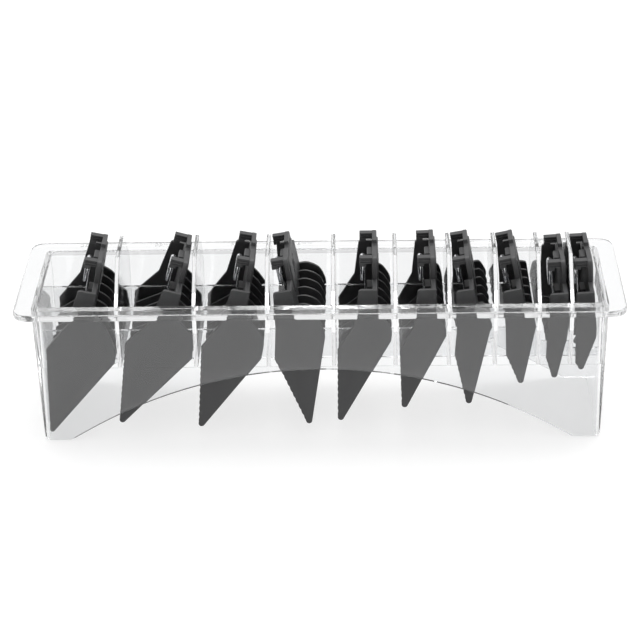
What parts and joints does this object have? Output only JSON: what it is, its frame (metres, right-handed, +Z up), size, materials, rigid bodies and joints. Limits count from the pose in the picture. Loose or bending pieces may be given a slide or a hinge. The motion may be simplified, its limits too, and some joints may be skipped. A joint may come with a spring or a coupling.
{
  "type": "hair clipper guide comb set in a clear rack",
  "caption": "Clear stand with dividers that holds clip-on hair clipper guide combs of graded cutting lengths, each comb with a steel spring clip; every comb lifts out.",
  "frame": {"origin": "centre of the rack at table level", "axes": "+X along the row of combs from the longest to the shortest, +Y from the side with the front wall towards the back, +Z up"},
  "size_m": [0.268, 0.0724, 0.0843],
  "materials": {
    "clear_plastic": "clear, polished",
    "black_nylon": "fine satin moulded",
    "spring_steel": "bright polished"
  },
  "bodies": {
    "rack": {"rack_front_rim": "clear_plastic", "rack_back_rim": "clear_plastic", "rack_left_rim": "clear_plastic", "rack_right_rim": "clear_plastic", "rack_front_skirt": "clear_plastic", "rack_back_skirt": "clear_plastic", "rack_left_end": "clear_plastic", "rack_right_end": "clear_plastic", "rack_front_rail": "clear_plastic", "rack_back_rail": "clear_plastic", "rack_divider_1": "clear_plastic", "rack_divider_2": "clear_plastic", "rack_divider_3": "clear_plastic", "rack_divider_4": "clear_plastic", "rack_divider_5": "clear_plastic", "rack_divider_6": "clear_plastic", "rack_divider_7": "clear_plastic", "rack_divider_8": "clear_plastic", "rack_divider_9": "clear_plastic"},
    "guide_25mm": {"comb_25mm": "black_nylon"},
    "spring_25mm": {"clip_25mm": "spring_steel"},
    "guide_22mm": {"comb_22mm": "black_nylon"},
    "spring_22mm": {"clip_22mm": "spring_steel"},
    "guide_19mm": {"comb_19mm": "black_nylon"},
    "spring_19mm": {"clip_19mm": "spring_steel"},
    "guide_16mm": {"comb_16mm": "black_nylon"},
    "spring_16mm": {"clip_16mm": "spring_steel"},
    "guide_13mm": {"comb_13mm": "black_nylon"},
    "spring_13mm": {"clip_13mm": "spring_steel"},
    "guide_10mm": {"comb_10mm": "black_nylon"},
    "spring_10mm": {"clip_10mm": "spring_steel"},
    "guide_6mm": {"comb_6mm": "black_nylon"},
    "spring_6mm": {"clip_6mm": "spring_steel"},
    "guide_4_5mm": {"comb_4_5mm": "black_nylon"},
    "spring_4_5mm": {"clip_4_5mm": "spring_steel"},
    "guide_3mm": {"comb_3mm": "black_nylon"},
    "spring_3mm": {"clip_3mm": "spring_steel"},
    "guide_1_5mm": {"comb_1_5mm": "black_nylon"},
    "spring_1_5mm": {"clip_1_5mm": "spring_steel"}
  },
  "joints": [
    {"name": "swing_out_25mm", "type": "hinge", "parent": "rack", "child": "guide_25mm", "pos_m": [-0.3606, 0, 0.06], "axis": [0, -1, 0], "range_deg": [0, 19.5]},
    {"name": "flex_25mm", "type": "hinge", "parent": "guide_25mm", "child": "spring_25mm", "pos_m": [-0.10447, 0, 0.06115], "axis": [0, 1, 0], "range_deg": [0, 2.2], "stiffness_Nm_per_rad": 0.05},
    {"name": "swing_out_22mm", "type": "hinge", "parent": "rack", "child": "guide_22mm", "pos_m": [-0.3233, 0, 0.06], "axis": [0, -1, 0], "range_deg": [0, 19.5]},
    {"name": "flex_22mm", "type": "hinge", "parent": "guide_22mm", "child": "spring_22mm", "pos_m": [-0.06802, 0, 0.06117], "axis": [0, 1, 0], "range_deg": [0, 2.2], "stiffness_Nm_per_rad": 0.05},
    {"name": "swing_out_19mm", "type": "hinge", "parent": "rack", "child": "guide_19mm", "pos_m": [-0.2934, 0, 0.06], "axis": [0, -1, 0], "range_deg": [0, 19.5]},
    {"name": "flex_19mm", "type": "hinge", "parent": "guide_19mm", "child": "spring_19mm", "pos_m": [-0.03705, 0, 0.06113], "axis": [0, 1, 0], "range_deg": [0, 2.2], "stiffness_Nm_per_rad": 0.05},
    {"name": "lift_out_16mm", "type": "slide", "parent": "rack", "child": "guide_16mm", "axis": [0, 0, 1], "range_m": [0, 0.085]},
    {"name": "flex_16mm", "type": "hinge", "parent": "guide_16mm", "child": "spring_16mm", "pos_m": [-0.01437, 0, 0.06039], "axis": [0, 1, 0], "range_deg": [0, 2.2], "stiffness_Nm_per_rad": 0.05},
    {"name": "lift_out_13mm", "type": "slide", "parent": "rack", "child": "guide_13mm", "axis": [0, 0, 1], "range_m": [0, 0.085]},
    {"name": "flex_13mm", "type": "hinge", "parent": "guide_13mm", "child": "spring_13mm", "pos_m": [0.0211, 0, 0.06085], "axis": [0, 1, 0], "range_deg": [0, 2.2], "stiffness_Nm_per_rad": 0.05},
    {"name": "lift_out_10mm", "type": "slide", "parent": "rack", "child": "guide_10mm", "axis": [0, 0, 1], "range_m": [0, 0.085]},
    {"name": "flex_10mm", "type": "hinge", "parent": "guide_10mm", "child": "spring_10mm", "pos_m": [0.04725, 0, 0.06077], "axis": [0, 1, 0], "range_deg": [0, 2.2], "stiffness_Nm_per_rad": 0.05},
    {"name": "lift_out_6mm", "type": "slide", "parent": "rack", "child": "guide_6mm", "axis": [0, 0, 1], "range_m": [0, 0.085]},
    {"name": "flex_6mm", "type": "hinge", "parent": "guide_6mm", "child": "spring_6mm", "pos_m": [0.06552, 0, 0.06037], "axis": [0, 1, 0], "range_deg": [0, 2.2], "stiffness_Nm_per_rad": 0.05},
    {"name": "lift_out_4_5mm", "type": "slide", "parent": "rack", "child": "guide_4_5mm", "axis": [0, 0, 1], "range_m": [0, 0.085]},
    {"name": "flex_4_5mm", "type": "hinge", "parent": "guide_4_5mm", "child": "spring_4_5mm", "pos_m": [0.08662, 0, 0.06023], "axis": [0, 1, 0], "range_deg": [0, 2.2], "stiffness_Nm_per_rad": 0.05},
    {"name": "lift_out_3mm", "type": "slide", "parent": "rack", "child": "guide_3mm", "axis": [0, 0, 1], "range_m": [0, 0.085]},
    {"name": "flex_3mm", "type": "hinge", "parent": "guide_3mm", "child": "spring_3mm", "pos_m": [0.10531, 0, 0.05811], "axis": [0, 1, 0], "range_deg": [0, 2.2], "stiffness_Nm_per_rad": 0.05},
    {"name": "lift_out_1_5mm", "type": "slide", "parent": "rack", "child": "guide_1_5mm", "axis": [0, 0, 1], "range_m": [0, 0.085]},
    {"name": "flex_1_5mm", "type": "hinge", "parent": "guide_1_5mm", "child": "spring_1_5mm", "pos_m": [0.11648, 0, 0.05854], "axis": [0, 1, 0], "range_deg": [0, 2.2], "stiffness_Nm_per_rad": 0.05}
  ]
}
